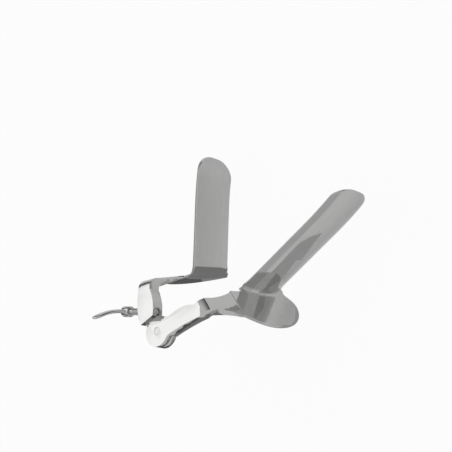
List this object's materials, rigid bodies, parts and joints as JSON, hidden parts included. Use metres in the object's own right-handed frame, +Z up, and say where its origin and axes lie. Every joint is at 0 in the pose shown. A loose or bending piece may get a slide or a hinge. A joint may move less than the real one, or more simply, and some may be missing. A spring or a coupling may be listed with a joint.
{
  "type": "bivalve speculum",
  "caption": "Side-open bivalve speculum: two curved blades on laterally offset arms, hinged by a half-lap pivot and spread by a winged screw.",
  "frame": {"origin": "centre of the instrument's box at the level of the surface it lies on", "axes": "+Z up from the surface, away from the open side; +Y along the anterior blade towards its tip; +X from the anterior to the posterior valve"},
  "size_m": [0.1606, 0.132, 0.0996],
  "materials": {
    "polished_steel": "mirror polished stainless steel",
    "turned_steel": "turned and polished stainless steel"
  },
  "bodies": {
    "anterior_valve": {"anterior_blade": "polished_steel", "anterior_arm": "polished_steel", "pivot_washer": "turned_steel"},
    "posterior_valve": {"posterior_blade": "polished_steel", "posterior_arm": "polished_steel", "pivot_screw": "turned_steel"},
    "screw": {"spreading_screw": "turned_steel"},
    "lever": {"wing_lever": "polished_steel"}
  },
  "joints": [
    {"name": "valve_pivot", "type": "hinge", "parent": "anterior_valve", "child": "posterior_valve", "pos_m": [-0.0377, -0.05594, 0.07335], "axis": [-0.0398, -0.0791, -0.9961], "range_deg": [-56, 4]},
    {"name": "screw_feed", "type": "slide", "parent": "anterior_valve", "child": "screw", "axis": [0.9843, -0.1747, -0.0254], "range_m": [-0.003, 0.0028]},
    {"name": "lever_turn", "type": "hinge", "parent": "screw", "child": "lever", "pos_m": [-0.04212, -0.04288, 0.07249], "axis": [0.9843, -0.1747, -0.0254], "range_deg": [-1351, 1261]}
  ],
  "couplings": [
    {"joint": "lever_turn", "follows": "screw_feed", "rad_per_m": 7854}
  ]
}
